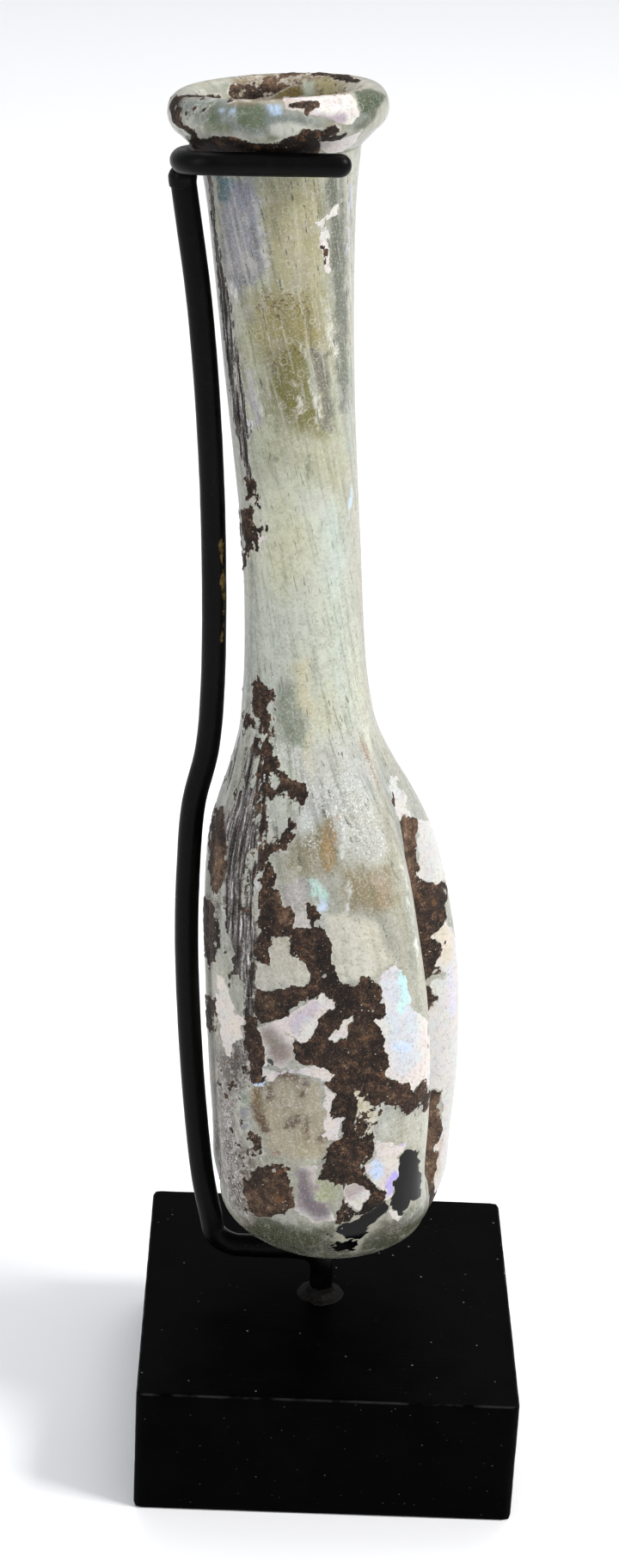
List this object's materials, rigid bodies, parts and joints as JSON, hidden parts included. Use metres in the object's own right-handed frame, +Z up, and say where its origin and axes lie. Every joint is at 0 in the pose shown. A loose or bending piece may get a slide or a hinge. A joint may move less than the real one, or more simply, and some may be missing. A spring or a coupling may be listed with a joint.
{
  "type": "glass unguentarium on stand",
  "caption": "Long-necked blown glass flask with a rolled lip, indented body and weathered surface, leaning in a bent rod stand on a square block.",
  "frame": {"origin": "centre of the block's underside", "axes": "+Z up, +X to the right seen from the front, -Y towards the front"},
  "size_m": [0.052, 0.0508, 0.1847],
  "materials": {
    "glass": "pale green blown glass with pearly and brown weathering",
    "stand_metal": "black satin paint over brass rod, worn in places",
    "block": "black satin paint"
  },
  "bodies": {
    "root": {"glass_bottle": "glass", "neck_fork": "stand_metal", "support_rod": "stand_metal", "base_block": "block"}
  },
  "joints": []
}
